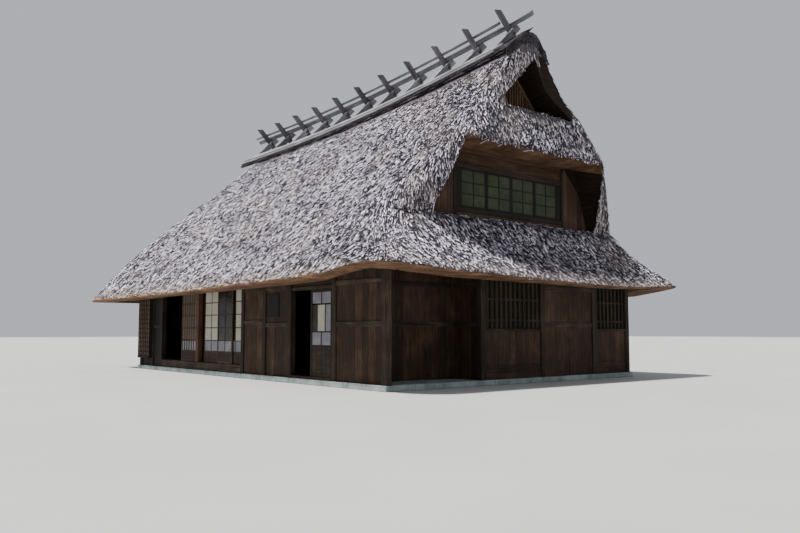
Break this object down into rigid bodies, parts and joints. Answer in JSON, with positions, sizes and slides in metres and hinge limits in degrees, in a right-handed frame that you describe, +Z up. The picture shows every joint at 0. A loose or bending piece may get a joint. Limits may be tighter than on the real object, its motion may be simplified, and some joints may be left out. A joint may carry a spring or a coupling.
{
  "type": "thatched farmhouse",
  "caption": "Weathered farmhouse with a thatched helmet roof, an upper window row under the brow, crossed ridge timbers, dark board walls and sliding lattice and glazed doors.",
  "frame": {"origin": "centre of the plan at ground level", "axes": "X along the ridge with +X at the helmet gable, -Y is the front, Z up"},
  "size_m": [15.2035, 10.558, 8.8642],
  "materials": {
    "thatch": "weathered grey reed thatch, rough",
    "ridge_bark": "dark weathered bark",
    "ridge_timber": "silver-grey weathered timber",
    "stone": "grey-green stone curb, matte",
    "earth": "packed earth floor, matte",
    "red_timber": "reddish-brown oiled timber",
    "paper": "pale paper and timber lattice leaf",
    "glazed_leaf": "dark timber leaf with clear panes",
    "boards": "dark weathered boards",
    "dark_timber": "very dark weathered timber"
  },
  "bodies": {
    "house": {"bay_head_left": "dark_timber", "bay_head_right": "dark_timber", "bay_sill": "dark_timber", "earth_floor": "earth", "entrance_head": "dark_timber", "entrance_sill": "dark_timber", "foundation": "stone", "gable_lattice_far": "dark_timber", "gable_lattice_near": "dark_timber", "porch_walls": "boards", "post_bay_middle": "red_timber", "raised_floor": "boards", "rear_lattice_left": "dark_timber", "rear_lattice_right": "dark_timber", "ridge_cover": "ridge_bark", "ridge_horse_01": "ridge_timber", "ridge_horse_02": "ridge_timber", "ridge_horse_03": "ridge_timber", "ridge_horse_04": "ridge_timber", "ridge_horse_05": "ridge_timber", "ridge_horse_06": "ridge_timber", "ridge_horse_07": "ridge_timber", "ridge_horse_08": "ridge_timber", "ridge_horse_09": "ridge_timber", "ridge_horse_10": "ridge_timber", "ridge_horse_11": "ridge_timber", "ridge_pole_front": "ridge_timber", "ridge_pole_rear": "ridge_timber", "ridge_rail_front": "ridge_timber", "ridge_rail_rear": "ridge_timber", "shutter_case": "dark_timber", "side_window": "glazed_leaf", "thatch_front": "thatch", "thatch_gable_brow": "thatch", "thatch_gable_skirt": "thatch", "thatch_left_hip": "thatch", "thatch_rear": "thatch", "upper_wall": "boards", "upper_window_far": "glazed_leaf", "upper_window_near": "glazed_leaf", "vent_lattice": "dark_timber", "wall_beam": "boards", "wall_front_left": "boards", "wall_front_middle": "boards", "wall_front_right": "boards", "wall_gable": "boards", "wall_left": "boards", "wall_rear": "boards"},
    "entrance_leaf_outer": {"entrance_door_outer": "glazed_leaf"},
    "entrance_leaf_inner": {"entrance_door_inner": "glazed_leaf"},
    "glass_leaf_right": {"glass_door_right": "glazed_leaf"},
    "glass_leaf_left": {"glass_door_left": "glazed_leaf"},
    "shoji_leaf": {"shoji_door": "paper"},
    "lattice_leaf": {"lattice_door": "dark_timber"}
  },
  "joints": [
    {"name": "entrance_leaf_outer_slide", "type": "slide", "parent": "house", "child": "entrance_leaf_outer", "axis": [-1, 0, 0], "range_m": [0, 0.79]},
    {"name": "entrance_leaf_inner_slide", "type": "slide", "parent": "house", "child": "entrance_leaf_inner", "axis": [-1, 0, 0], "range_m": [0, 0.79]},
    {"name": "glass_leaf_right_slide", "type": "slide", "parent": "house", "child": "glass_leaf_right", "axis": [-1, 0, 0], "range_m": [0, 0.53]},
    {"name": "glass_leaf_left_slide", "type": "slide", "parent": "house", "child": "glass_leaf_left", "axis": [-1, 0, 0], "range_m": [-0.51, 1.12]},
    {"name": "shoji_leaf_slide", "type": "slide", "parent": "house", "child": "shoji_leaf", "axis": [-1, 0, 0], "range_m": [0, 0.24]},
    {"name": "lattice_leaf_slide", "type": "slide", "parent": "house", "child": "lattice_leaf", "axis": [-1, 0, 0], "range_m": [0, 1.36]}
  ]
}
